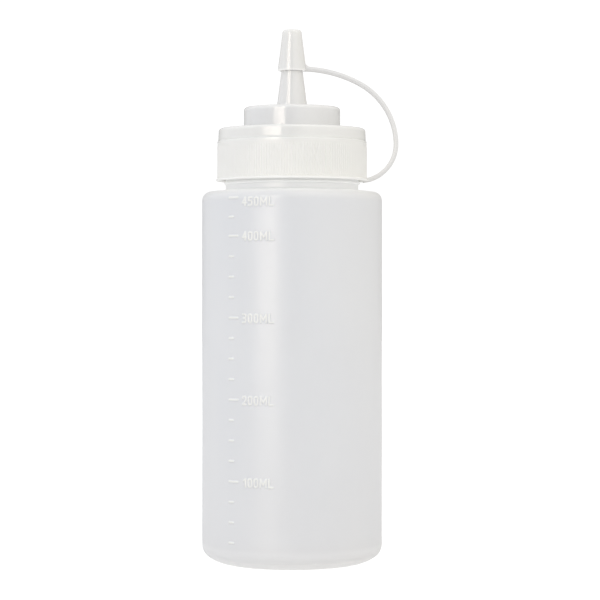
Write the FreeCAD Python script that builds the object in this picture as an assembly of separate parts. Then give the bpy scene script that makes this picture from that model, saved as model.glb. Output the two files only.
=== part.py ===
import FreeCAD, Part
import math
import os

# Squeeze bottle for sauces: a blow-moulded bottle, a screw lid with a cone nozzle, the flat seal
# inside the lid, and a tip cap on a moulded strap.
# Millimetres, +Z up. The origin is the centre of the standing ring, -Y is the front and the strap
# is at +X. Profiles are lists of corners (radius, height, corner radius) turned about Z.

# Bottle
BODY_R = 33.8
WALL = 1.1
STANDING_RING_R = 20.5
PUSH_UP = 3.6
BASE_CORNER_IN = 6.2
BASE_CORNER_UP = 3.8
SHOULDER_Z = 138.95
SHOULDER_RISE = 0.4
NECK_R = 24.9
NECK_BORE_R = 23.3
NECK_TOP_Z = 160.1
NECK_BEAD_R = 25.5
NECK_BEAD_Z = 141.7

# Screw thread, shared by the neck and the lid
PITCH = 25.4 / 6
NECK_CREST_R = 26.1
NECK_THREAD_Z = 150.4
NECK_THREAD_TURNS = 1.3
LID_CREST_R = 25.3
LID_THREAD_DROP = 1.5
LID_THREAD_START_TURN = -0.2
LID_THREAD_TURNS = 1.3
THREAD_ROOT_DEPTH = 0.4

# Lid
SKIRT_BOTTOM_Z = 143.1
SKIRT_LIP_R = 28.7
SKIRT_R = 28.05
SKIRT_BORE_R = 26.5
SKIRT_TOP_R = 27.55
STEP_Z = 157.9
DECK_Z = 162.7
DECK_THICKNESS = 1.6
RIB_COUNT = 176
RIB_CREST_R = 28.4
RIB_BOTTOM_Z = 144.0
RIB_TOP_Z = 156.0
DOME_R = 18.1
DOME_TOP_Z = 170.8
DOME_WALL = 1.6
NOZZLE_TIP_Z = 197.0
NOZZLE_TIP_R = 2.45
NOZZLE_TAPER = 0.126
NOZZLE_WALL = 1.2

# Seal ring
SEAL_THICKNESS = 0.95
SEAL_IN_R = 22.4
SEAL_OUT_R = 26.2

# Tip cap
CAP_BOTTOM_Z = 184.6
CAP_TOP_Z = 200.0
CAP_WALL = 1.4
CAP_ROOF = 1.9
CAP_CLEARANCE = 0.06

# Strap: from the tip cap's rim to the skirt's edge, a short straight and three arcs in the XZ plane
STRAP_WIDTH = 3.2
STRAP_THICKNESS = 1.75
STRAP_EDGE_R = 0.5
STRAP_START = (4.6, 185.35)
STRAP_START_ANGLE = -1.5
STRAP_ARCS = ((46.5, 26.5), (26.3, 60.0), (14.0, 74.0))
STRAP_END_RUN = 2.0

# Raised volume scale on the bottle's front left
RELIEF = 0.3
MARK_STEP = 25
MARK_LAST = 450
MARK_LONG = (100, 200, 300, 400, 450)
MARK_100_Z = 32.45
MARK_SPACING = 0.2985
MARK_SPACING_TOP = 0.280
MARK_TOP_FROM = 400
MARK_THICKNESS = 0.7
MARK_LEFT_ANGLE = -42.8
MARK_LONG_ANGLE = 7.8
MARK_SHORT_ANGLE = 4.2
TEXT_LEFT_ANGLE = -32.2
TEXT_HEIGHT = 3.5
TEXT_GAP = 0.5
TEXT_DROP = 0.15
LAST_TEXT_DROP = 1.57
STROKE = 0.5

# Strokes of each character on a grid one unit high: (across, up, corner radius). Every stroke has
# at least one bend, however slight, because a straight one alone has no plane to be widened in.
GLYPHS = {
    "0": [[(0, 0, 0.225), (0.45, 0, 0.225), (0.45, 1, 0.225), (0, 1, 0.225)]],
    "1": [[(0.14, 0.78, 0), (0.42, 1, 0), (0.42, 0, 0)]],
    "2": [[(0, 0.76, 0), (0, 1, 0.21), (0.45, 1, 0.22), (0.45, 0.5, 0.15), (0, 0, 0), (0.45, 0, 0)]],
    "3": [
        [(0, 1, 0), (0.45, 1, 0.2), (0.45, 0.53, 0.2), (0.12, 0.53, 0)],
        [(0.12, 0.53, 0), (0.45, 0.53, 0.21), (0.45, 0, 0.22), (0, 0, 0)],
    ],
    "4": [
        [(0.36, 0, 0), (0.36, 1, 0), (0, 0.32, 0)],
        [(0, 0.32, 0), (0.25, 0.325, 0), (0.48, 0.32, 0)],
    ],
    "5": [[(0.43, 1, 0), (0.04, 1, 0), (0.02, 0.58, 0), (0.45, 0.62, 0.2), (0.45, 0, 0.22), (0, 0, 0)]],
    "M": [[(0, 0, 0), (0, 1, 0), (0.375, 0.3, 0), (0.75, 1, 0), (0.75, 0, 0)]],
    "L": [[(0, 1, 0), (0, 0, 0), (0.5, 0, 0)]],
}

UP = FreeCAD.Vector(0, 0, 1)
CENTRE = FreeCAD.Vector(0, 0, 0)


def at(across, up):
    """A point of the XZ plane."""
    return FreeCAD.Vector(across, 0, up)


def corner_arc(before, corner, after, radius):
    """The arc that rounds one corner, as its first, middle and last point."""
    back = (before - corner).normalize()
    ahead = (after - corner).normalize()
    half = back.getAngle(ahead) / 2
    reach = radius / math.tan(half)
    towards_centre = (back + ahead).normalize()
    middle = corner + towards_centre * (radius / math.sin(half) - radius)
    return corner + back * reach, middle, corner + ahead * reach


def rounded_wire(corners, closed=True):
    """Straight runs joined by tangent arcs through (across, up, corner radius) corners."""
    points = [at(across, up) for across, up, _ in corners]
    count = len(points)
    pieces = []
    for index, (_, _, radius) in enumerate(corners):
        here = points[index]
        if radius:
            arc = corner_arc(points[index - 1], here, points[(index + 1) % count], radius)
            pieces.append((arc[0], Part.Arc(*arc).toShape(), arc[2]))
        else:
            pieces.append((here, None, here))
    if closed:
        pieces.append(pieces[0])
    edges = []
    for index, (start, arc, _) in enumerate(pieces):
        if index:
            last = pieces[index - 1][2]
            if (start - last).Length > 1e-6:
                edges.append(Part.LineSegment(last, start).toShape())
        if arc and not (closed and index == len(pieces) - 1):
            edges.append(arc)
    return Part.Wire(edges)


def turned(corners):
    """A solid of revolution about Z from a closed outline."""
    return Part.Face(rounded_wire(corners)).revolve(CENTRE, UP, 360)


def nozzle_radius(height):
    return NOZZLE_TIP_R + NOZZLE_TAPER * (NOZZLE_TIP_Z - height)


def thread(root_r, crest_r, root_half, crest_half, start_z, start_turn, turns):
    """A right-hand helical ridge of trapezium section on a wall of radius root_r."""
    helix = Part.makeHelix(PITCH, PITCH * turns, root_r)
    corners = [
        at(root_r, -root_half),
        at(crest_r, -crest_half),
        at(crest_r, crest_half),
        at(root_r, root_half),
    ]
    section = Part.makePolygon(corners + corners[:1])
    ridge = Part.Wire(helix).makePipeShell([section], True, True)
    ridge.rotate(CENTRE, UP, 360 * start_turn)
    ridge.translate(UP * (start_z + PITCH * start_turn))
    return ridge


def mark_height(volume):
    """Height of the mark for a volume in millilitres; marks close up a little under the shoulder."""
    below = min(volume, MARK_TOP_FROM)
    return MARK_100_Z + (below - 100) * MARK_SPACING + (volume - below) * MARK_SPACING_TOP


def on_the_wall(flat_faces, angle):
    """Faces drawn in the XZ plane, raised out of the bottle's wall at an angle from the front."""
    solids = []
    for face in flat_faces:
        face.translate(FreeCAD.Vector(0, -BODY_R - RELIEF, 0))
        solid = face.extrude(FreeCAD.Vector(0, RELIEF + WALL / 2, 0))
        solid.rotate(CENTRE, UP, angle)
        solids.append(solid)
    return solids


def tick(volume):
    span = MARK_LONG_ANGLE if volume in MARK_LONG else MARK_SHORT_ANGLE
    width = BODY_R * math.radians(span)
    low = mark_height(volume) - MARK_THICKNESS / 2
    high = low + MARK_THICKNESS
    outline = [
        (-width / 2, low, 0),
        (width / 2, low, 0),
        (width / 2, high, 0),
        (-width / 2, high, 0),
    ]
    return on_the_wall([Part.Face(rounded_wire(outline))], MARK_LEFT_ANGLE + span / 2)


def stroke_face(points, width):
    """A pen stroke of constant width along a run of points; four rounded corners make a loop."""
    closed = all(radius for _, _, radius in points)
    wire = rounded_wire(points, closed)
    if closed:
        outer = Part.Face(wire.makeOffset2D(width / 2, 0))
        inner = Part.Face(wire.makeOffset2D(-width / 2, 0))
        return outer.cut(inner).Faces[0]
    return wire.makeOffset2D(width / 2, 0, True, False)


def label(text, volume):
    """The characters of one label, each flat on the wall at its own angle. The last label hangs
    lower than its mark, clear of the shoulder."""
    drop = LAST_TEXT_DROP if volume == MARK_LAST else TEXT_DROP
    base = mark_height(volume) - drop - TEXT_HEIGHT / 2 + STROKE / 2
    scale = TEXT_HEIGHT - STROKE
    left = BODY_R * math.radians(TEXT_LEFT_ANGLE)
    solids = []
    for character in text:
        strokes = GLYPHS[character]
        width = max(across for stroke in strokes for across, _, _ in stroke) * scale
        centre = left + (width + STROKE) / 2
        faces = []
        for stroke in strokes:
            points = [
                (across * scale - width / 2, up * scale + base, radius * scale)
                for across, up, radius in stroke
            ]
            faces.append(stroke_face(points, STROKE))
        solids += on_the_wall(faces, math.degrees(centre / BODY_R))
        left += width + STROKE + TEXT_GAP
    return solids


def volume_scale():
    """Every tick and label, trimmed to one height above the wall."""
    solids = []
    for volume in range(MARK_STEP, MARK_LAST + 1, MARK_STEP):
        solids += tick(volume)
    for volume in MARK_LONG:
        solids += label(f"{volume}ML", volume)
    skin = Part.makeCylinder(BODY_R + RELIEF, NECK_TOP_Z)
    return [solid.common(skin) for solid in solids]


def bottle():
    inner_r = BODY_R - WALL
    outline = [
        (0, PUSH_UP, 0),
        (STANDING_RING_R - 7, PUSH_UP - 0.5, 18),
        (STANDING_RING_R - 0.6, 0, 0.8),
        (BODY_R - BASE_CORNER_IN, 0, 12.9),
        (BODY_R, BASE_CORNER_UP, 4.8),
        (BODY_R, SHOULDER_Z, 3.3),
        (NECK_R, SHOULDER_Z + SHOULDER_RISE, 0.9),
        (NECK_R, NECK_BEAD_Z, 0),
        (NECK_BEAD_R, NECK_BEAD_Z, 0.4),
        (NECK_BEAD_R, NECK_BEAD_Z + 1, 0.4),
        (NECK_R, NECK_BEAD_Z + 1, 0),
        (NECK_R, NECK_TOP_Z, 0.5),
        (NECK_BORE_R, NECK_TOP_Z, 0.4),
        (NECK_BORE_R, SHOULDER_Z + SHOULDER_RISE - WALL, 1.4),
        (inner_r, SHOULDER_Z - WALL, 2.4),
        (inner_r, BASE_CORNER_UP + 0.7, 4.0),
        (BODY_R - BASE_CORNER_IN - 0.5, WALL + 0.2, 11.5),
        (STANDING_RING_R - 0.2, WALL + 0.2, 1.4),
        (STANDING_RING_R - 6.6, PUSH_UP + 0.8, 18),
        (0, PUSH_UP + 1.4, 0),
    ]
    ridge = thread(
        NECK_R - THREAD_ROOT_DEPTH, NECK_CREST_R, 1.3, 0.45, NECK_THREAD_Z, 0, NECK_THREAD_TURNS
    )
    return turned(outline).multiFuse([ridge] + volume_scale())


def ribs():
    """The fine vertical ribs of the lid's grip, as one toothed ring."""
    points = []
    for index in range(2 * RIB_COUNT + 1):
        radius = SKIRT_R - 0.05 if index % 2 else RIB_CREST_R
        angle = math.pi * index / RIB_COUNT
        points.append(
            FreeCAD.Vector(radius * math.cos(angle), radius * math.sin(angle), RIB_BOTTOM_Z)
        )
    height = RIB_TOP_Z - RIB_BOTTOM_Z
    toothed = Part.Face(Part.makePolygon(points)).extrude(UP * height)
    return toothed.cut(Part.makeCylinder(SKIRT_R - 0.6, height, UP * RIB_BOTTOM_Z))


def lid_shell():
    deck_under = DECK_Z - DECK_THICKNESS
    dome_under = DOME_TOP_Z - DOME_WALL
    bore_tip_r = NOZZLE_TIP_R - NOZZLE_WALL
    return turned([
        (SKIRT_BORE_R, SKIRT_BOTTOM_Z, 0.3),
        (SKIRT_LIP_R, SKIRT_BOTTOM_Z, 0.25),
        (SKIRT_LIP_R, SKIRT_BOTTOM_Z + 0.5, 0.2),
        (SKIRT_R, RIB_BOTTOM_Z, 0.2),
        (SKIRT_R, STEP_Z, 0.12),
        (SKIRT_TOP_R + 0.2, STEP_Z + 0.15, 0),
        (SKIRT_TOP_R, DECK_Z, 0.95),
        (DOME_R, DECK_Z, 0.6),
        (DOME_R, DOME_TOP_Z, 1.2),
        (nozzle_radius(DOME_TOP_Z), DOME_TOP_Z, 0.8),
        (NOZZLE_TIP_R, NOZZLE_TIP_Z, 0.35),
        (bore_tip_r, NOZZLE_TIP_Z, 0.2),
        (nozzle_radius(dome_under) - NOZZLE_WALL, dome_under, 0.8),
        (DOME_R - DOME_WALL, dome_under, 1.2),
        (DOME_R - DOME_WALL, deck_under, 0.5),
        (SKIRT_BORE_R, deck_under, 0.2),
    ])


def lid():
    ridge = thread(
        SKIRT_BORE_R + THREAD_ROOT_DEPTH,
        LID_CREST_R,
        1.05,
        0.35,
        NECK_THREAD_Z - LID_THREAD_DROP,
        LID_THREAD_START_TURN,
        LID_THREAD_TURNS,
    )
    return lid_shell().multiFuse([ribs(), ridge])


def seal_ring():
    return turned([
        (SEAL_IN_R, NECK_TOP_Z, 0.2),
        (SEAL_OUT_R, NECK_TOP_Z, 0.2),
        (SEAL_OUT_R, NECK_TOP_Z + SEAL_THICKNESS, 0.2),
        (SEAL_IN_R, NECK_TOP_Z + SEAL_THICKNESS, 0.2),
    ])


def tip_cap():
    """A hollow cone that follows the nozzle's taper inside and outside."""
    roof_under = CAP_TOP_Z - CAP_ROOF
    return turned([
        (nozzle_radius(CAP_BOTTOM_Z) + CAP_CLEARANCE, CAP_BOTTOM_Z, 0.2),
        (nozzle_radius(CAP_BOTTOM_Z) + CAP_WALL, CAP_BOTTOM_Z, 0.25),
        (nozzle_radius(CAP_TOP_Z) + CAP_WALL, CAP_TOP_Z, 1.0),
        (0, CAP_TOP_Z, 0),
        (0, roof_under, 0),
        (nozzle_radius(roof_under) + CAP_CLEARANCE, roof_under, 0.3),
    ])


def strap_section(x, z, heading):
    """The strap's rounded rectangle at a point of its route, square to the heading."""
    half_t = STRAP_THICKNESS / 2
    half_w = STRAP_WIDTH / 2
    face = Part.Face(rounded_wire([
        (-half_w, -half_t, STRAP_EDGE_R),
        (half_w, -half_t, STRAP_EDGE_R),
        (half_w, half_t, STRAP_EDGE_R),
        (-half_w, half_t, STRAP_EDGE_R),
    ]))
    face.rotate(CENTRE, UP, 90)
    face.rotate(CENTRE, FreeCAD.Vector(0, 1, 0), -heading)
    face.translate(at(x, z))
    return face


def tether_strap(*neighbours):
    """The strap, its two ends trimmed to the pieces that it joins."""
    x, z = STRAP_START
    heading = STRAP_START_ANGLE
    pieces = []
    for radius, turn in STRAP_ARCS:
        down = math.radians(heading - 90)
        pivot = at(x + radius * math.cos(down), z + radius * math.sin(down))
        face = strap_section(x, z, heading)
        pieces.append(face.revolve(pivot, FreeCAD.Vector(0, 1, 0), turn))
        heading -= turn
        outward = math.radians(heading + 90)
        x = pivot.x + radius * math.cos(outward)
        z = pivot.z + radius * math.sin(outward)
    ahead = math.radians(heading)
    run = at(STRAP_END_RUN * math.cos(ahead), STRAP_END_RUN * math.sin(ahead))
    pieces.append(strap_section(x, z, heading).extrude(run))
    strap = pieces[0].multiFuse(pieces[1:])
    for neighbour in neighbours:
        strap = strap.cut(neighbour)
    return max(strap.Solids, key=lambda solid: solid.Volume)


def solid_of(shape):
    """The shape's one solid, with the seams of its unions removed."""
    clean = shape.removeSplitter()
    return clean.Solids[0] if len(clean.Solids) == 1 else clean


def main():
    os.makedirs("parts", exist_ok=True)
    nodes = {
        "bottle": bottle(),
        "seal_ring": seal_ring(),
        "lid": lid(),
        "tip_cap": tip_cap(),
        "tether_strap": tether_strap(lid_shell(), tip_cap()),
    }
    for name, shape in nodes.items():
        solid = solid_of(shape)
        box = solid.BoundBox
        print(name, "solids", len(solid.Solids), "valid", solid.isValid(), "volume", round(solid.Volume))
        print("   box", [round(v, 2) for v in (box.XMin, box.YMin, box.ZMin, box.XMax, box.YMax, box.ZMax)])
        solid.exportStep(f"parts/{name}.step")


main()
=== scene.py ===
import math

import bmesh
import bpy
import numpy as np
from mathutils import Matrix, Vector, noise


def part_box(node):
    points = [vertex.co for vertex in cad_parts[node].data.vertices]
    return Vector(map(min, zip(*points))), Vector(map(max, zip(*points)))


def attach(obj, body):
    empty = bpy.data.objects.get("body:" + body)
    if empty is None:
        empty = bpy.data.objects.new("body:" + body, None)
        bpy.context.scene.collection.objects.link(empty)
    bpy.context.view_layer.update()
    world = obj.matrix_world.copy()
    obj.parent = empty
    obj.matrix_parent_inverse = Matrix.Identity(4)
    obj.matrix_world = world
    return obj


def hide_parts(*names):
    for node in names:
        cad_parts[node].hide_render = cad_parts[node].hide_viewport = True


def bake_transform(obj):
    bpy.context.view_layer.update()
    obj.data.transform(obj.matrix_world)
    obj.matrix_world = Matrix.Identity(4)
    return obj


# The looks of a sauce squeeze bottle. Sizes are in millimetres, and in metres where a comment says
# so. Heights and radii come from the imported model's boxes, and what they leave open is named below.
# Named angles are in degrees, and those from the front are measured from -Y towards +X.
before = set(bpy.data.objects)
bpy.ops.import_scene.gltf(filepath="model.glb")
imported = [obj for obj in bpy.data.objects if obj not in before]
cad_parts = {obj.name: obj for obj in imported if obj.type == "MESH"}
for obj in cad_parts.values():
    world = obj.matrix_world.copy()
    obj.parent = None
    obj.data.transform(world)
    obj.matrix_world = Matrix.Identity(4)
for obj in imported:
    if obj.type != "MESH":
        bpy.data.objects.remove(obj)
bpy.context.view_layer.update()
MM = 0.001
TINY = 1e-6
JUST_PAST = 1e-3


def box_mm(node):
    low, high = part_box(node)
    return Vector(low) / MM, Vector(high) / MM


BOTTLE_HIGH = box_mm("bottle")[1]
LID_LOW, LID_HIGH = box_mm("lid")
CAP_LOW, CAP_HIGH = box_mm("tip_cap")

# Bottle
BODY_R = BOTTLE_HIGH.x
WALL = 1.1
STANDING_RING_R = 20.5
PUSH_UP = 3.6
BASE_CORNER_IN = 6.2
BASE_CORNER_UP = 3.8
NECK_TOP_Z = BOTTLE_HIGH.z
SHOULDER_Z = NECK_TOP_Z - 21.15
SHOULDER_RISE = 0.4
NECK_R = 24.9
NECK_BORE_R = 23.3
NECK_BEAD_R = 25.5
NECK_BEAD_Z = NECK_TOP_Z - 18.4
SEAM_HEIGHT = 0.07
SEAM_HALF_WIDTH = 0.35

# Slow unevenness of the blown wall: its depth, how fast it changes round and up the wall, where it
# starts above the base and below the shoulder, and how far it takes to reach its full depth
UNEVEN_DEPTH = 0.07
UNEVEN_ROUND = 1.1
UNEVEN_UP = 0.03
UNEVEN_CLEAR = 3
UNEVEN_GROWS_UP = 12
UNEVEN_GROWS_DOWN = 10

# Screw thread
PITCH = 25.4 / 6
NECK_CREST_R = 26.1
NECK_THREAD_Z = NECK_TOP_Z - 9.7
LID_CREST_R = 25.3
LID_THREAD_DROP = 1.5
LID_THREAD_START_TURN = -0.2
THREAD_TURNS = 1.3
THREAD_FADE_TURN = 0.06
RIDGE_HALF_WIDTH = 1.15
RIDGE_FLANK = 0.75

# Lid
SKIRT_BOTTOM_Z = LID_LOW.z
SKIRT_LIP_R = LID_HIGH.x
SKIRT_R = SKIRT_LIP_R - 0.65
SKIRT_BORE_R = 26.5
SKIRT_TOP_R = 27.55
STEP_Z = SKIRT_BOTTOM_Z + 14.8
DECK_Z = SKIRT_BOTTOM_Z + 19.6
DECK_THICKNESS = 1.6
RIB_COUNT = 176
RIB_HEIGHT = 0.12
RIB_BOTTOM_Z = SKIRT_BOTTOM_Z + 0.9
RIB_TOP_Z = SKIRT_BOTTOM_Z + 12.9
RIB_FADE_BOTTOM = 0.5
RIB_FADE_TOP = 0.35
RIB_SHARPNESS = 1.3
RIB_BAND = (RIB_BOTTOM_Z - 0.1, RIB_TOP_Z + 0.5)
SKIRT_OUTSIDE_FROM_R = SKIRT_BORE_R + 0.7
ON_BORE_WITHIN = 0.05
DOME_R = 18.1
DOME_TOP_Z = SKIRT_BOTTOM_Z + 27.7
DOME_WALL = 1.6
NOZZLE_TIP_Z = LID_HIGH.z
NOZZLE_TIP_R = 2.45
NOZZLE_TAPER = 0.126
NOZZLE_WALL = 1.2

# Tip cap
CAP_WALL = 1.4
CAP_ROOF = 1.9
CAP_CLEARANCE = 0.06

# Strap: route in the XZ plane from the tip cap's rim to the skirt's edge, with its arcs as
# (radius, degrees turned)
STRAP_HALF_WIDTH = 1.6
STRAP_FACE_HALF_WIDTH = 1.25
STRAP_HALF_THICKNESS = 0.875
STRAP_START = (4.6, CAP_LOW.z + 0.75)
STRAP_START_ANGLE = -1.5
STRAP_ARCS = ((46.5, 26.5), (26.3, 60.0), (14.0, 74.0))
STRAP_END_RUN = 3.0
STRAP_THIN_RUN = 4.0
STRAP_THINNED_BY = 0.45
GUSSET_HEIGHT = 1.2
GUSSET_LENGTH = 1.9

# Raised volume scale on the bottle's front left
RELIEF = 0.3
RELIEF_SOFT = 0.16
MARK_STEP = 25
MARK_LAST = 450
MARK_LONG = (100, 200, 300, 400, 450)
MARK_100_Z = 32.45
MARK_SPACING = 0.2985
MARK_SPACING_TOP = 0.280
MARK_TOP_FROM = 400
MARK_THICKNESS = 0.7
MARK_LEFT_ANGLE = -42.8
MARK_LONG_ANGLE = 7.8
MARK_SHORT_ANGLE = 4.2
TEXT_LEFT_ANGLE = -32.2
TEXT_HEIGHT = 3.5
TEXT_GAP = 0.5
TEXT_DROP = 0.15
LAST_TEXT_DROP = 1.57
STROKE = 0.6

# Spacing of the meshes' rows, in millimetres, and of the bottle's columns, in degrees. Other columns
# are counted.
BODY_ROW = 3.2
SCALE_ROW = 0.2
SCALE_ROW_MARGIN = 0.4
NECK_ROW = 0.6
BOTTLE_INSIDE_ROW = 6.0
SHORTEST_ROW = 0.05
RIB_ROW = 0.45
SKIRT_ROW = 0.9
NOZZLE_ROW = 2.5
CAP_ROW = 1.0
STRAP_STEP = 0.7
BODY_COLUMN = 3.0
SCALE_COLUMN = 0.34
SCALE_SPAN = (-43.8, -9.8)
SEAM_COLUMN = 0.3
SEAM_SPAN = 1.2
CAP_COLUMNS = 120
COLUMNS_PER_RIB = 6
COLUMNS_PER_TWO_RIBS = 3

# Strokes of each character on a grid one unit high: (across, up, corner radius)
GLYPHS = {
    "0": [[(0.225, 0, 0), (0.45, 0, 0.22), (0.45, 1, 0.22), (0, 1, 0.22), (0, 0, 0.22), (0.225, 0, 0)]],
    "1": [[(0.14, 0.78, 0), (0.42, 1, 0), (0.42, 0, 0)]],
    "2": [[(0, 0.76, 0), (0, 1, 0.21), (0.45, 1, 0.22), (0.45, 0.5, 0.15), (0, 0, 0), (0.45, 0, 0)]],
    "3": [
        [(0, 1, 0), (0.45, 1, 0.2), (0.45, 0.53, 0.2), (0.12, 0.53, 0)],
        [(0.12, 0.53, 0), (0.45, 0.53, 0.21), (0.45, 0, 0.22), (0, 0, 0)],
    ],
    "4": [[(0.36, 0, 0), (0.36, 1, 0), (0, 0.32, 0), (0.48, 0.32, 0)]],
    "5": [[(0.43, 1, 0), (0.04, 1, 0), (0.02, 0.58, 0), (0.45, 0.62, 0.2), (0.45, 0, 0.22), (0, 0, 0)]],
    "M": [[(0, 0, 0), (0, 1, 0), (0.375, 0.3, 0), (0.75, 1, 0), (0.75, 0, 0)]],
    "L": [[(0, 1, 0), (0, 0, 0), (0.5, 0, 0)]],
}

# Camera and studio distances, in metres. The camera's lens and sensor are in millimetres, and its
# shift is a share of the sensor.
FLOOR_HALF_SIZE = 3.0
STRIP_DISTANCE = 1.5
STRIP_HEIGHT = 0.9
CAMERA_DISTANCE = 0.810
CAMERA_HEIGHT = 0.1053
CAMERA_ASIDE = 0.0030
CAMERA_LENS = 129.1
CAMERA_SENSOR = 36
CAMERA_SHIFT_Y = -0.0305

# The studio all round, as (angle from the front, colour): what lights the object, and what its
# gloss mirrors
SOFT_LIGHT = [
    (-180, (0.88, 0.88, 0.885)),
    (-90, (0.95, 0.96, 0.99)),
    (-35, (1.00, 1.005, 1.02)),
    (20, (1.00, 1.00, 1.00)),
    (90, (0.94, 0.91, 0.87)),
    (180, (0.88, 0.88, 0.885)),
]
MIRRORED = [
    (-180, (0.36, 0.36, 0.36)),
    (-150, (0.48, 0.48, 0.48)),
    (-122, (0.85, 0.88, 0.92)),
    (-105, (0.95, 1.02, 1.14)),
    (-45, (0.95, 1.02, 1.16)),
    (-14, (0.70, 0.78, 0.92)),
    (-7, (0.42, 0.48, 0.58)),
    (6, (0.60, 0.65, 0.72)),
    (17, (1.70, 1.72, 1.68)),
    (56, (1.65, 1.65, 1.55)),
    (85, (1.00, 1.00, 0.90)),
    (130, (0.48, 0.48, 0.43)),
    (180, (0.36, 0.36, 0.36)),
]

# Strips of light in the gloss: their colour, the side one's share of it, and watts a square metre
KEY_LIGHT = (5.0, 4.5, 3.9)
KEY_SIDE_SHARE = 0.65
STRIP_POWER = 4

STUDIO_STRENGTH = 1.08
FLOOR_WHITE = 0.75
FLOOR_GLOW = 0.65

# Colours of the milky plastics by height, as (height, colour)
BOTTLE_TINTS = [
    (0, (0.82, 0.81, 0.80)),
    (12, (0.83, 0.83, 0.835)),
    (60, (0.835, 0.84, 0.85)),
    (SHOULDER_Z - 4, (0.82, 0.825, 0.835)),
    (SHOULDER_Z - 0.5, (0.82, 0.815, 0.80)),
    # From the shoulder to just inside the lid the tint is greyer, and the painted glow below gives most
    # of the neck's brightness
    (SHOULDER_Z + 0.5, (0.63, 0.63, 0.625)),
    (SKIRT_BOTTOM_Z + 0.3, (0.63, 0.63, 0.625)),
    (SKIRT_BOTTOM_Z + 1.8, (0.79, 0.79, 0.785)),
]
LID_TINTS = [
    (SKIRT_BOTTOM_Z, (0.90, 0.89, 0.85)),
    (STEP_Z, (0.90, 0.89, 0.85)),
    (DECK_Z - 0.5, (0.865, 0.855, 0.825)),
    (DECK_Z + 1, (0.80, 0.795, 0.785)),
    (DOME_TOP_Z - 1.5, (0.80, 0.795, 0.785)),
    # The lighter stop at the dome's top is a painted highlight on its rounded rim
    (DOME_TOP_Z, (0.85, 0.84, 0.82)),
    (DOME_TOP_Z + 2, (0.82, 0.81, 0.79)),
    (CAP_LOW.z, (0.83, 0.82, 0.795)),
    (CAP_HIGH.z, (0.845, 0.835, 0.805)),
]
STRAP_TINTS = [
    (SKIRT_BOTTOM_Z, (0.83, 0.82, 0.80)),
    (CAP_LOW.z, (0.80, 0.79, 0.775)),
]
RAISED_TINT = (0.95, 0.94, 0.885)

# How far light wanders inside the milky wall, in metres
LIGHT_DEPTH = 0.0015

# Painted glow: emission standing in for light through the walls. It lifts the shade at the base, in the
# neck's groove under the lid, under the skirt's lip and at the tip cap's rim, as (height, strength)
BOTTLE_PAINTED_GLOW = [
    (0, 0.36),
    (1.0, 0.29),
    (1.7, 0.23),
    (3.8, 0.08),
    (8, 0.0),
    (SHOULDER_Z - 0.6, 0.0),
    (SHOULDER_Z + 0.4, 0.26),
    (SKIRT_BOTTOM_Z - 1.0, 0.26),
    (SKIRT_BOTTOM_Z, 0.31),
    (SKIRT_BOTTOM_Z + 0.3, 0.30),
    (SKIRT_BOTTOM_Z + 1.8, 0.04),
]
LID_PAINTED_GLOW = [
    (SKIRT_BOTTOM_Z, 0.05),
    (SKIRT_BOTTOM_Z + 0.5, 0.0),
    (CAP_HIGH.z, 0.0),
]
CAP_PAINTED_GLOW = [
    (CAP_LOW.z, 0.10),
    (CAP_LOW.z + 0.3, 0.07),
    (CAP_LOW.z + 0.8, 0.0),
    (CAP_HIGH.z, 0.0),
]

# Roughness by height: satin on the bottle and the ribs, glossier on the rest of the lid
BOTTLE_FINISH = [(0, 0.33), (NECK_TOP_Z, 0.33)]
LID_FINISH = [(SKIRT_BOTTOM_Z, 0.42), (STEP_Z - 1.2, 0.42), (STEP_Z - 0.2, 0.13), (CAP_HIGH.z, 0.13)]
STRAP_FINISH = [(SKIRT_BOTTOM_Z, 0.4), (CAP_LOW.z, 0.4)]


def unit(vector):
    return vector / np.linalg.norm(vector)


def smooth(value):
    value = np.clip(value, 0, 1)
    return value * value * (3 - 2 * value)


def rounded(corners, steps=6):
    """The points of an outline whose (across, up, corner radius) corners are rounded by arcs."""
    points = []
    for index, (across, up, radius) in enumerate(corners):
        here = np.array((across, up), float)
        if not radius:
            points.append(here)
            continue
        before = np.array(corners[index - 1][:2], float)
        after = np.array(corners[(index + 1) % len(corners)][:2], float)
        back, ahead = unit(before - here), unit(after - here)
        half = math.acos(np.clip(back @ ahead, -1, 1)) / 2
        centre = here + unit(back + ahead) * radius / math.sin(half)
        first = here + back * radius / math.tan(half) - centre
        last = here + ahead * radius / math.tan(half) - centre
        start = math.atan2(first[1], first[0])
        sweep = (math.atan2(last[1], last[0]) - start + math.pi) % (2 * math.pi) - math.pi
        for step in range(steps + 1):
            angle = start + sweep * step / steps
            points.append(centre + radius * np.array((math.cos(angle), math.sin(angle))))
    return np.array(points)


def split_runs(points, longest):
    """Adds points so that no straight run is longer than longest(height), asked just past its start."""
    out = [points[0]]
    for here, there in zip(points[:-1], points[1:]):
        run = there - here
        done = 0.0
        length = np.linalg.norm(run)
        while length - done > TINY:
            at = here + run * done / length
            done = min(length, done + longest(at[1] + run[1] / length * JUST_PAST))
            out.append(here + run * done / length)
    return np.array(out)


def new_piece(name, vertices, faces, body, material):
    """A mesh object from millimetre points, riding on a CAD body."""
    mesh = bpy.data.meshes.new(name)
    mesh.from_pydata((np.asarray(vertices) * MM).tolist(), [], faces)
    mesh.validate()
    build = bmesh.new()
    build.from_mesh(mesh)
    bmesh.ops.recalc_face_normals(build, faces=build.faces)
    build.to_mesh(mesh)
    build.free()
    mesh.polygons.foreach_set("use_smooth", [True] * len(mesh.polygons))
    mesh.materials.append(material)
    piece = bpy.data.objects.new(name, mesh)
    bpy.context.collection.objects.link(piece)
    if body:
        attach(piece, body)
    return piece


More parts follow.
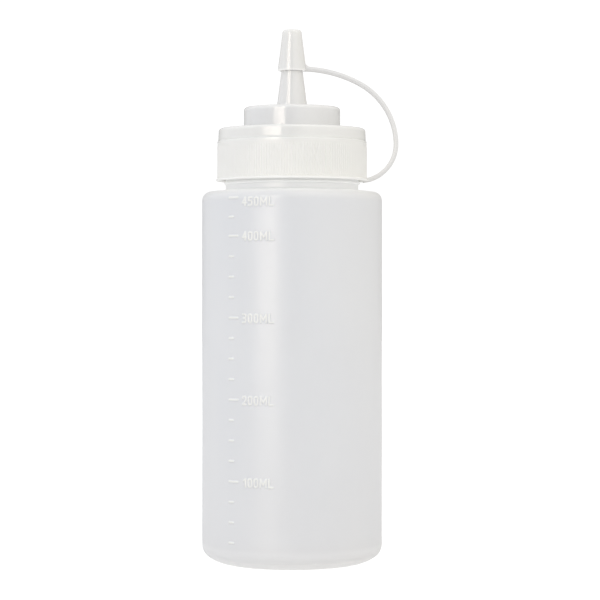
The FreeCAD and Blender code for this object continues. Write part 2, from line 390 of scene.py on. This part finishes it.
def lathe(profile, columns, shape=None, closed=False):
    """Vertices and faces of a profile turned about Z. columns holds each row's angles; a row on the
    axis has one. Rows whose counts differ by a whole factor are stitched. shape(radii, height,
    angles, row) gives a row's changed radii."""
    vertices, rows, faces = [], [], []
    for row, (radius, height) in enumerate(profile):
        angles = columns[row]
        first = len(vertices)
        radii = np.full(len(angles), float(radius))
        if shape is not None and len(angles) > 1:
            radii = shape(radii, height, angles, row)
        vertices += zip(radii * np.cos(angles), radii * np.sin(angles), np.full(len(angles), height))
        rows.append(range(first, len(vertices)))
    pairs = list(zip(rows[:-1], rows[1:]))
    if closed:
        pairs.append((rows[-1], rows[0]))
    for lower, upper in pairs:
        few, many = sorted((lower, upper), key=len)
        factor = len(many) // len(few)
        if len(few) == 1:
            faces += [(few[0], many[i], many[(i + 1) % len(many)]) for i in range(len(many))]
            continue
        for i in range(len(few)):
            ring = [many[(i * factor + k) % len(many)] for k in range(factor + 1)]
            faces.append((few[i], *ring, few[(i + 1) % len(few)]))
    return np.array(vertices), faces


def round_angles(count):
    return np.linspace(-math.pi, math.pi, count, endpoint=False)


def turned_columns(profile, angles):
    """Each row's angles, with a single one for a row on the axis."""
    return [angles if radius > TINY else np.zeros(1) for radius, _ in profile]


def ridge(height, angles, start_z, start_turn):
    """How much of a screw thread's ridge, from 0 to 1, stands at a height and angles."""
    share = np.zeros(len(angles))
    for turn in range(-1, 3):
        along = angles / (2 * math.pi) % 1 + turn - start_turn
        centre = start_z + PITCH * (along + start_turn)
        inside = smooth(along / THREAD_FADE_TURN) * smooth((THREAD_TURNS - along) / THREAD_FADE_TURN)
        flank = smooth((RIDGE_HALF_WIDTH - np.abs(height - centre)) / RIDGE_FLANK)
        share = np.maximum(share, inside * flank)
    return share


def mark_height(volume):
    below = min(volume, MARK_TOP_FROM)
    return MARK_100_Z + (below - 100) * MARK_SPACING + (volume - below) * MARK_SPACING_TOP


def scale_strokes():
    """Every stroke of the volume scale, as (points, half width), unrolled on the wall: (along, up)."""
    strokes = []
    for volume in range(MARK_STEP, MARK_LAST + 1, MARK_STEP):
        span = MARK_LONG_ANGLE if volume in MARK_LONG else MARK_SHORT_ANGLE
        half = MARK_THICKNESS / 2
        left = BODY_R * math.radians(MARK_LEFT_ANGLE) + half
        right = BODY_R * math.radians(MARK_LEFT_ANGLE + span) - half
        height = mark_height(volume)
        strokes.append((np.array([(left, height), (right, height)]), half))
    size = TEXT_HEIGHT - STROKE
    for volume in MARK_LONG:
        drop = LAST_TEXT_DROP if volume == MARK_LAST else TEXT_DROP
        base = mark_height(volume) - drop - size / 2
        left = BODY_R * math.radians(TEXT_LEFT_ANGLE) + STROKE / 2
        for character in f"{volume}ML":
            runs = [rounded(run, 5) for run in GLYPHS[character]]
            for run in runs:
                strokes.append((run * size + (left, base), STROKE / 2))
            left += max(run[:, 0].max() for run in runs) * size + STROKE + TEXT_GAP
    return strokes


def stroke_distance(along, up, run):
    """Distance from each wall point to a run of straight pieces."""
    point = np.stack((along, np.full(len(along), up)), axis=1)
    nearest = np.full(len(along), np.inf)
    for start, end in zip(run[:-1], run[1:]):
        line = end - start
        share = np.clip((point - start) @ line / (line @ line), 0, 1)
        nearest = np.minimum(nearest, np.linalg.norm(point - start - share[:, None] * line, axis=1))
    return nearest


def relief_share(up, front_angles, strokes):
    """How far the scale stands out of the wall at one height, from 0 to 1."""
    along = BODY_R * front_angles
    share = np.zeros(len(front_angles))
    for run, half in strokes:
        reach = half + RELIEF_SOFT
        if run[:, 1].min() - reach > up or run[:, 1].max() + reach < up:
            continue
        near = (along > run[:, 0].min() - reach) & (along < run[:, 0].max() + reach)
        if near.any():
            gap = stroke_distance(along[near], up, run)
            share[near] = np.maximum(share[near], smooth((reach - gap) / (2 * RELIEF_SOFT)))
    return share


def spread(start, stop, step):
    return list(np.linspace(start, stop, round(abs(stop - start) / step), endpoint=False))


def bottle_columns():
    """Angles round the bottle, from +X: fine across the scale and the two seams, coarse elsewhere."""
    scale_start, scale_stop = [angle - 90 for angle in SCALE_SPAN]
    angles = spread(-180, -180 + SEAM_SPAN, SEAM_COLUMN)
    angles += spread(-180 + SEAM_SPAN, scale_start, BODY_COLUMN)
    angles += spread(scale_start, scale_stop, SCALE_COLUMN)
    angles += spread(scale_stop, -SEAM_SPAN, BODY_COLUMN)
    angles += spread(-SEAM_SPAN, SEAM_SPAN, SEAM_COLUMN)
    angles += spread(SEAM_SPAN, 180 - SEAM_SPAN, BODY_COLUMN)
    angles += spread(180 - SEAM_SPAN, 180, SEAM_COLUMN)
    return np.radians(angles)


def bottle_row_length(strokes):
    """Row spacing on the bottle's walls, finer where strokes or the thread need it."""
    bands = []
    for run, half in strokes:
        reach = half + SCALE_ROW_MARGIN
        bands.append((run[:, 1].min() - reach, run[:, 1].max() + reach))

    def longest(height):
        if any(low <= height < high for low, high in bands):
            return SCALE_ROW
        if height > SHOULDER_Z:
            return NECK_ROW
        gaps = [low - height for low, _ in bands if low > height]
        return min([BODY_ROW] + [max(gap, SHORTEST_ROW) for gap in gaps])

    return longest


def bottle_outlines():
    """The bottle's outside from the middle of its base to the mouth, and its inside back down."""
    outside = [
        (0, PUSH_UP, 0),
        (STANDING_RING_R - 7, PUSH_UP - 0.5, 18),
        (STANDING_RING_R - 0.6, 0, 0.8),
        (BODY_R - BASE_CORNER_IN, 0, 12.9),
        (BODY_R, BASE_CORNER_UP, 4.8),
        (BODY_R, SHOULDER_Z, 3.3),
        (NECK_R, SHOULDER_Z + SHOULDER_RISE, 0.9),
        (NECK_R, NECK_BEAD_Z, 0.15),
        (NECK_BEAD_R, NECK_BEAD_Z + 0.1, 0.3),
        (NECK_BEAD_R, NECK_BEAD_Z + 0.9, 0.3),
        (NECK_R, NECK_BEAD_Z + 1, 0.15),
        (NECK_R, NECK_TOP_Z, 0.5),
        ((NECK_R + NECK_BORE_R) / 2, NECK_TOP_Z, 0),
    ]
    inner_r = BODY_R - WALL
    inside = [
        ((NECK_R + NECK_BORE_R) / 2, NECK_TOP_Z, 0),
        (NECK_BORE_R, NECK_TOP_Z, 0.4),
        (NECK_BORE_R, SHOULDER_Z + SHOULDER_RISE - WALL, 1.4),
        (inner_r, SHOULDER_Z - WALL, 2.4),
        (inner_r, BASE_CORNER_UP + 0.7, 4.0),
        (BODY_R - BASE_CORNER_IN - 0.5, WALL + 0.2, 11.5),
        (STANDING_RING_R - 0.2, WALL + 0.2, 1.4),
        (STANDING_RING_R - 6.6, PUSH_UP + 0.8, 18),
        (0, PUSH_UP + 1.4, 0),
    ]
    return rounded(outside), rounded(inside)


def unevenness(height, angles):
    """How far the blown wall wanders in or out at a height, over the straight part of the body."""
    grown = smooth((height - UNEVEN_CLEAR) / UNEVEN_GROWS_UP)
    grown *= smooth((SHOULDER_Z - UNEVEN_CLEAR - height) / UNEVEN_GROWS_DOWN)
    across = UNEVEN_ROUND * np.cos(angles)
    deep = UNEVEN_ROUND * np.sin(angles)
    up = UNEVEN_UP * height
    wave = np.array([noise.noise(Vector((x, y, up))) for x, y in zip(across, deep)])
    return UNEVEN_DEPTH * wave * grown


def bottle_piece(material):
    """The bottle's skin, with how far the scale stands out kept in a layer for its material."""
    strokes = scale_strokes()
    outside, inside = bottle_outlines()
    outside = split_runs(outside, bottle_row_length(strokes))
    inside = split_runs(inside, lambda height: BOTTLE_INSIDE_ROW)
    profile = np.concatenate((outside, inside[1:]))
    columns = turned_columns(profile, bottle_columns())
    on_wall = profile[:, 0] > STANDING_RING_R
    on_wall[len(outside):] = False
    relief = [
        relief_share(height, angles + math.pi / 2, strokes if wall else [])
        for (_, height), angles, wall in zip(profile, columns, on_wall)
    ]

    def shape(radii, height, angles, row):
        if not on_wall[row]:
            return radii
        radii = radii + unevenness(height, angles)
        from_seam = radii * np.abs(np.sin(angles))
        radii = radii + SEAM_HEIGHT * smooth(1 - from_seam / SEAM_HALF_WIDTH)
        thread = ridge(height, angles, NECK_THREAD_Z, 0)
        return radii + RELIEF * relief[row] + (NECK_CREST_R - NECK_R) * thread

    vertices, faces = lathe(profile, columns, shape)
    piece = new_piece("bottle_skin", vertices, faces, "bottle", material)
    layer = piece.data.attributes.new("raised", "FLOAT", "POINT")
    layer.data.foreach_set("value", np.concatenate(relief).astype(np.float32))
    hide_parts("bottle")


def nozzle_radius(height):
    return NOZZLE_TIP_R + NOZZLE_TAPER * (NOZZLE_TIP_Z - height)


def lid_outline():
    deck_under = DECK_Z - DECK_THICKNESS
    dome_under = DOME_TOP_Z - DOME_WALL
    return rounded([
        (SKIRT_BORE_R, SKIRT_BOTTOM_Z, 0.3),
        (SKIRT_LIP_R, SKIRT_BOTTOM_Z, 0.25),
        (SKIRT_LIP_R, SKIRT_BOTTOM_Z + 0.5, 0.2),
        (SKIRT_R, RIB_BOTTOM_Z, 0.2),
        (SKIRT_R, STEP_Z, 0.12),
        (SKIRT_TOP_R + 0.2, STEP_Z + 0.15, 0),
        (SKIRT_TOP_R, DECK_Z, 0.95),
        (DOME_R, DECK_Z, 0.6),
        (DOME_R, DOME_TOP_Z, 1.2),
        (nozzle_radius(DOME_TOP_Z), DOME_TOP_Z, 0.8),
        (NOZZLE_TIP_R, NOZZLE_TIP_Z, 0.35),
        (NOZZLE_TIP_R - NOZZLE_WALL, NOZZLE_TIP_Z, 0.2),
        (nozzle_radius(dome_under) - NOZZLE_WALL, dome_under, 0.8),
        (DOME_R - DOME_WALL, dome_under, 1.2),
        (DOME_R - DOME_WALL, deck_under, 0.5),
        (SKIRT_BORE_R, deck_under, 0.2),
    ])


def lid_row_length(height):
    if RIB_BOTTOM_Z < height < RIB_TOP_Z + 0.6:
        return RIB_ROW
    return SKIRT_ROW if height < DECK_Z else NOZZLE_ROW


def in_ribs(radius, height):
    """Whether a row of the lid's outline is on the ribbed band outside the skirt."""
    return radius > SKIRT_OUTSIDE_FROM_R and RIB_BAND[0] < height < RIB_BAND[1]


def lid_shape(radii, height, angles, row):
    """The ribs outside the skirt, and the thread on its bore."""
    if in_ribs(radii[0], height):
        wave = 0.5 + 0.5 * np.cos(RIB_COUNT * angles)
        ends = smooth((height - RIB_BOTTOM_Z) / RIB_FADE_BOTTOM)
        ends *= smooth((RIB_TOP_Z - height) / RIB_FADE_TOP)
        return radii + RIB_HEIGHT * ends * wave ** RIB_SHARPNESS
    if abs(radii[0] - SKIRT_BORE_R) < ON_BORE_WITHIN:
        share = ridge(height, angles, NECK_THREAD_Z - LID_THREAD_DROP, LID_THREAD_START_TURN)
        return radii - (SKIRT_BORE_R - LID_CREST_R) * share
    return radii


def lid_piece(material):
    outline = lid_outline()
    outline = np.concatenate((outline, outline[:1]))
    profile = split_runs(outline, lid_row_length)[:-1]
    coarse = round_angles(RIB_COUNT * COLUMNS_PER_TWO_RIBS // 2)
    dense = round_angles(RIB_COUNT * COLUMNS_PER_RIB)
    columns = [dense if in_ribs(*row) else coarse for row in profile]
    vertices, faces = lathe(profile, columns, lid_shape, closed=True)
    piece = new_piece("lid_skin", vertices, faces, "lid", material)
    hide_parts("lid")


def tip_cap_piece(material):
    roof_under = CAP_HIGH.z - CAP_ROOF
    profile = split_runs(rounded([
        (0, CAP_HIGH.z, 0),
        (nozzle_radius(CAP_HIGH.z) + CAP_WALL, CAP_HIGH.z, 1.0),
        (nozzle_radius(CAP_LOW.z) + CAP_WALL, CAP_LOW.z, 0.25),
        (nozzle_radius(CAP_LOW.z) + CAP_CLEARANCE, CAP_LOW.z, 0.2),
        (nozzle_radius(roof_under) + CAP_CLEARANCE, roof_under, 0.3),
        (0, roof_under, 0),
    ]), lambda height: CAP_ROW)
    vertices, faces = lathe(profile, turned_columns(profile, round_angles(CAP_COLUMNS)))
    piece = new_piece("tip_cap_skin", vertices, faces, "tip_cap", material)
    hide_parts("tip_cap")


def strap_route():
    """Points and headings along the strap's middle, from the tip cap to the skirt."""
    x, z = STRAP_START
    heading = STRAP_START_ANGLE
    route = []
    for radius, turn in STRAP_ARCS:
        pivot_x = x + radius * math.cos(math.radians(heading - 90))
        pivot_z = z + radius * math.sin(math.radians(heading - 90))
        steps = round(radius * math.radians(turn) / STRAP_STEP)
        for step in range(steps):
            now = heading - turn * step / steps
            out = math.radians(now + 90)
            route.append((pivot_x + radius * math.cos(out), pivot_z + radius * math.sin(out), now))
        heading -= turn
        out = math.radians(heading + 90)
        x, z = pivot_x + radius * math.cos(out), pivot_z + radius * math.sin(out)
    steps = round(STRAP_END_RUN / STRAP_STEP)
    for step in range(steps + 1):
        run = STRAP_END_RUN * step / steps
        ahead = math.radians(heading)
        route.append((x + run * math.cos(ahead), z + run * math.sin(ahead), heading))
    return route


def strap_section():
    return rounded([
        (-STRAP_HALF_WIDTH, 0, 0.15),
        (-STRAP_FACE_HALF_WIDTH, -STRAP_HALF_THICKNESS, 0.3),
        (STRAP_FACE_HALF_WIDTH, -STRAP_HALF_THICKNESS, 0.3),
        (STRAP_HALF_WIDTH, 0, 0.15),
        (STRAP_FACE_HALF_WIDTH, STRAP_HALF_THICKNESS, 0.3),
        (-STRAP_FACE_HALF_WIDTH, STRAP_HALF_THICKNESS, 0.3),
    ], 3)


def strap_vertices(route, section):
    """The section set along the route, with a fillet up to the tip cap and a thinned far end."""
    length = STRAP_STEP * len(route)
    vertices = []
    for index, (x, z, heading) in enumerate(route):
        done = STRAP_STEP * index
        gusset = GUSSET_HEIGHT * smooth(1 - done / GUSSET_LENGTH)
        thin = 1 - STRAP_THINNED_BY * smooth(1 - (length - done) / STRAP_THIN_RUN)
        side = math.radians(heading + 90)
        for across, up in section:
            lift = up * thin + gusset if up > 0 else up
            vertices.append((x + lift * math.cos(side), across, z + lift * math.sin(side)))
    return vertices


def strap_piece(material):
    """The strap, which bends between the skirt's edge and the tip cap."""
    section = strap_section()
    route = strap_route()
    faces = []
    count = len(section)
    for index in range(len(route) - 1):
        for k in range(count):
            a, b = index * count + k, index * count + (k + 1) % count
            faces.append((a, b, b + count, a + count))
    faces.append(tuple(range(count))[::-1])
    faces.append(tuple(range((len(route) - 1) * count, len(route) * count)))
    piece = new_piece("strap_skin", strap_vertices(route, section), faces, None, material)
    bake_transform(piece)
    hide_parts("tether_strap")


def nodes_of(material):
    material.use_nodes = True
    tree = material.node_tree
    shader = next(node for node in tree.nodes if node.type == "BSDF_PRINCIPLED")
    return tree, shader


def noise_node(tree, coordinates, scale, detail, stretch=(1, 1, 1)):
    """A noise texture in object space, scale in features per metre."""
    mapping = tree.nodes.new("ShaderNodeMapping")
    mapping.inputs["Scale"].default_value = stretch
    tree.links.new(coordinates.outputs["Object"], mapping.inputs["Vector"])
    texture = tree.nodes.new("ShaderNodeTexNoise")
    texture.inputs["Scale"].default_value = scale
    texture.inputs["Detail"].default_value = detail
    tree.links.new(mapping.outputs["Vector"], texture.inputs["Vector"])
    return texture.outputs["Fac"]


def ramp_node(tree, value, low, high, from_low=0.35, from_high=0.65):
    """Maps a value to a range of numbers. The usual from range is where most noise lies."""
    node = tree.nodes.new("ShaderNodeMapRange")
    node.inputs["From Min"].default_value = from_low
    node.inputs["From Max"].default_value = from_high
    node.inputs["To Min"].default_value = low
    node.inputs["To Max"].default_value = high
    tree.links.new(value, node.inputs["Value"])
    return node.outputs["Result"]


def mix_colour(tree, share, first, second, blend="MIX"):
    node = tree.nodes.new("ShaderNodeMix")
    node.data_type = "RGBA"
    node.blend_type = blend
    tree.links.new(share, node.inputs["Factor"])
    for name, colour in (("A", first), ("B", second)):
        socket = next(s for s in node.inputs if s.name == name and s.type == "RGBA")
        if isinstance(colour, tuple):
            socket.default_value = (*colour, 1)
        else:
            tree.links.new(colour, socket)
    return next(s for s in node.outputs if s.type == "RGBA")


def colour_stops(tree, value, stops):
    """A colour ramp over a value, from (value, colour) stops in rising order."""
    low, high = stops[0][0], stops[-1][0]
    ramp = tree.nodes.new("ShaderNodeValToRGB")
    elements = ramp.color_ramp.elements
    for index, (place, colour) in enumerate(stops):
        share = (place - low) / (high - low)
        element = elements[index] if index < 2 else elements.new(share)
        element.position = share
        element.color = (*colour, 1)
    tree.links.new(ramp_node(tree, value, 0.0, 1.0, low, high), ramp.inputs["Fac"])
    return ramp.outputs["Color"]


def bump_node(tree, height, distance, strength, under=None):
    """A bump whose distance is in metres, laid over another one if under is its normal."""
    node = tree.nodes.new("ShaderNodeBump")
    node.inputs["Distance"].default_value = distance
    node.inputs["Strength"].default_value = strength
    tree.links.new(height, node.inputs["Height"])
    if under is not None:
        tree.links.new(under, node.inputs["Normal"])
    return node.outputs["Normal"]


def height_colour(tree, coordinates, tints):
    """A colour by height: the plastic is whiter and warmer where it is thick or backed, and the lighter
    band at the top of the lid's dome is a painted highlight.
    """
    parts = tree.nodes.new("ShaderNodeSeparateXYZ")
    tree.links.new(coordinates.outputs["Object"], parts.inputs["Vector"])
    stops = [(height * MM, colour) for height, colour in tints]
    return colour_stops(tree, parts.outputs["Z"], stops)


def height_value(tree, coordinates, values):
    """A number by height, as a grey."""
    return height_colour(tree, coordinates, [(height, (value,) * 3) for height, value in values])


def milky_plastic(name, tints, finish, grain, inside=1.0):
    """Translucent milky polyethylene: soft light inside, faint flow streaks, grain and fine rubs."""
    material = bpy.data.materials.new(name)
    tree, shader = nodes_of(material)
    coordinates = tree.nodes.new("ShaderNodeTexCoord")
    colour = height_colour(tree, coordinates, tints)
    flow = noise_node(tree, coordinates, scale=40, detail=4, stretch=(1, 1, 0.35))
    colour = mix_colour(tree, ramp_node(tree, flow, 0.0, 1.0), colour, (0.978, 0.982, 0.99), "MULTIPLY")
    tree.links.new(colour, shader.inputs["Base Color"])
    rubs = noise_node(tree, coordinates, scale=160, detail=4, stretch=(1, 1, 0.12))
    rough = tree.nodes.new("ShaderNodeMath")
    tree.links.new(height_value(tree, coordinates, finish), rough.inputs[0])
    tree.links.new(ramp_node(tree, rubs, -0.015, 0.02), rough.inputs[1])
    tree.links.new(rough.outputs["Value"], shader.inputs["Roughness"])
    fine = noise_node(tree, coordinates, scale=1400, detail=2)
    normal = bump_node(tree, fine, distance=0.00003, strength=grain)
    slow = noise_node(tree, coordinates, scale=90, detail=2)
    normal = bump_node(tree, slow, distance=0.0003, strength=grain, under=normal)
    tree.links.new(normal, shader.inputs["Normal"])
    shader.inputs["IOR"].default_value = 1.51
    shader.inputs["Subsurface Weight"].default_value = inside
    shader.inputs["Subsurface Radius"].default_value = (1.0, 1.0, 1.0)
    shader.inputs["Subsurface Scale"].default_value = LIGHT_DEPTH
    return material


def add_painted_glow(material, strengths):
    """Painted glow: warm white emission out of the wall, by height, that lifts shaded places."""
    tree, shader = nodes_of(material)
    coordinates = tree.nodes.new("ShaderNodeTexCoord")
    tree.links.new(height_value(tree, coordinates, strengths), shader.inputs["Emission Strength"])
    shader.inputs["Emission Color"].default_value = (1, 1, 0.98, 1)


def whiten_raised(material):
    """The raised scale is thicker than the wall around it, so it is whiter."""
    tree, shader = nodes_of(material)
    plain = shader.inputs["Base Color"].links[0].from_socket
    layer = tree.nodes.new("ShaderNodeAttribute")
    layer.attribute_name = "raised"
    whiter = mix_colour(tree, layer.outputs["Fac"], plain, RAISED_TINT)
    tree.links.new(whiter, shader.inputs["Base Color"])


def seal_material():
    """Matte pale rubber with a fine moulded grain."""
    material = bpy.data.materials.new("seal_rubber_look")
    tree, shader = nodes_of(material)
    coordinates = tree.nodes.new("ShaderNodeTexCoord")
    grain = noise_node(tree, coordinates, scale=900, detail=3)
    colour = mix_colour(tree, ramp_node(tree, grain, 0.0, 1.0), (0.72, 0.73, 0.72), (0.79, 0.79, 0.77))
    tree.links.new(colour, shader.inputs["Base Color"])
    tree.links.new(ramp_node(tree, grain, 0.55, 0.7), shader.inputs["Roughness"])
    normal = bump_node(tree, grain, distance=0.00004, strength=0.4)
    tree.links.new(normal, shader.inputs["Normal"])
    return material


def dress_seal():
    material = seal_material()
    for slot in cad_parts["seal_ring"].material_slots:
        slot.material = material


def add_floor():
    """A pale floor that glows for the camera only, so that it runs into the white beyond."""
    build = bmesh.new()
    bmesh.ops.create_grid(build, x_segments=1, y_segments=1, size=FLOOR_HALF_SIZE)
    mesh = bpy.data.meshes.new("floor")
    build.to_mesh(mesh)
    build.free()
    floor = bpy.data.objects.new("floor", mesh)
    bpy.context.collection.objects.link(floor)
    material = bpy.data.materials.new("floor_paper")
    tree, shader = nodes_of(material)
    shader.inputs["Base Color"].default_value = (FLOOR_WHITE, FLOOR_WHITE, FLOOR_WHITE, 1)
    shader.inputs["Roughness"].default_value = 0.9
    shader.inputs["Specular IOR Level"].default_value = 0.1
    shader.inputs["Emission Color"].default_value = (1, 1, 1, 1)
    path = tree.nodes.new("ShaderNodeLightPath")
    seen = path.outputs["Is Camera Ray"]
    glow = ramp_node(tree, seen, 0.0, FLOOR_GLOW, from_low=0.0, from_high=1.0)
    tree.links.new(glow, shader.inputs["Emission Strength"])
    mesh.materials.append(material)


def add_camera():
    camera = bpy.data.cameras.new("camera")
    camera.lens = CAMERA_LENS
    camera.sensor_width = CAMERA_SENSOR
    camera.shift_y = CAMERA_SHIFT_Y
    camera.clip_start = 0.01
    camera.clip_end = 20
    holder = bpy.data.objects.new("camera", camera)
    holder.location = (CAMERA_ASIDE, -CAMERA_DISTANCE, CAMERA_HEIGHT)
    holder.rotation_euler = (math.pi / 2, 0, 0)
    bpy.context.collection.objects.link(holder)
    bpy.context.scene.camera = holder


def add_strip(name, azimuth, half_angle, radiance):
    """A tall soft strip standing on the floor round the object, seen only in its gloss."""
    width = 2 * STRIP_DISTANCE * math.tan(math.radians(half_angle))
    data = bpy.data.lights.new(name, "AREA")
    data.shape = "RECTANGLE"
    data.size = width
    data.size_y = STRIP_HEIGHT
    data.energy = STRIP_POWER * width * STRIP_HEIGHT
    data.color = radiance
    lamp = bpy.data.objects.new(name, data)
    turn = math.radians(azimuth)
    x, y = STRIP_DISTANCE * math.sin(turn), -STRIP_DISTANCE * math.cos(turn)
    lamp.location = (x, y, STRIP_HEIGHT / 2)
    lamp.rotation_euler = (math.pi / 2, 0, turn)
    lamp.visible_diffuse = False
    bpy.context.collection.objects.link(lamp)


def direction_angle(tree):
    """The angle from the front of the direction that the world is seen in."""
    coordinates = tree.nodes.new("ShaderNodeTexCoord")
    parts = tree.nodes.new("ShaderNodeSeparateXYZ")
    tree.links.new(coordinates.outputs["Generated"], parts.inputs["Vector"])
    front = tree.nodes.new("ShaderNodeMath")
    front.operation = "MULTIPLY"
    front.inputs[1].default_value = -1
    tree.links.new(parts.outputs["Y"], front.inputs[0])
    angle = tree.nodes.new("ShaderNodeMath")
    angle.operation = "ARCTAN2"
    tree.links.new(parts.outputs["X"], angle.inputs[0])
    tree.links.new(front.outputs["Value"], angle.inputs[1])
    return angle.outputs["Value"]


def add_world():
    """Soft light from all round, panels for the gloss to mirror, and white behind."""
    world = bpy.data.worlds.new("studio")
    bpy.context.scene.world = world
    world.use_nodes = True
    world.cycles.sampling_method = "NONE"
    tree = world.node_tree
    angle = direction_angle(tree)
    soft, mirrored = [
        colour_stops(tree, angle, [(math.radians(place), colour) for place, colour in ring])
        for ring in (SOFT_LIGHT, MIRRORED)
    ]
    path = tree.nodes.new("ShaderNodeLightPath")
    light = mix_colour(tree, path.outputs["Is Glossy Ray"], soft, mirrored)
    shown = mix_colour(tree, path.outputs["Is Camera Ray"], light, (1.0, 1.0, 1.0))
    tree.links.new(shown, tree.nodes["Background"].inputs["Color"])
    tree.nodes["Background"].inputs["Strength"].default_value = STUDIO_STRENGTH


def main():
    bpy.context.scene.view_settings.view_transform = "Standard"
    add_camera()
    add_world()
    add_floor()
    side_light = tuple(KEY_SIDE_SHARE * channel for channel in KEY_LIGHT)
    add_strip("key_strip", azimuth=-24.5, half_angle=7.5, radiance=KEY_LIGHT)
    add_strip("key_side", azimuth=-38.5, half_angle=6.5, radiance=side_light)
    bottle_look = milky_plastic("bottle_plastic_look", BOTTLE_TINTS, BOTTLE_FINISH, grain=0.2)
    whiten_raised(bottle_look)
    add_painted_glow(bottle_look, BOTTLE_PAINTED_GLOW)
    lid_look = milky_plastic("lid_plastic_look", LID_TINTS, LID_FINISH, grain=0.05)
    add_painted_glow(lid_look, LID_PAINTED_GLOW)
    cap_look = milky_plastic("tip_cap_plastic_look", LID_TINTS, LID_FINISH, grain=0.05)
    add_painted_glow(cap_look, CAP_PAINTED_GLOW)
    strap_look = milky_plastic("strap_plastic_look", STRAP_TINTS, STRAP_FINISH, grain=0.03, inside=0.0)
    bottle_piece(bottle_look)
    lid_piece(lid_look)
    tip_cap_piece(cap_look)
    strap_piece(strap_look)
    dress_seal()


main()
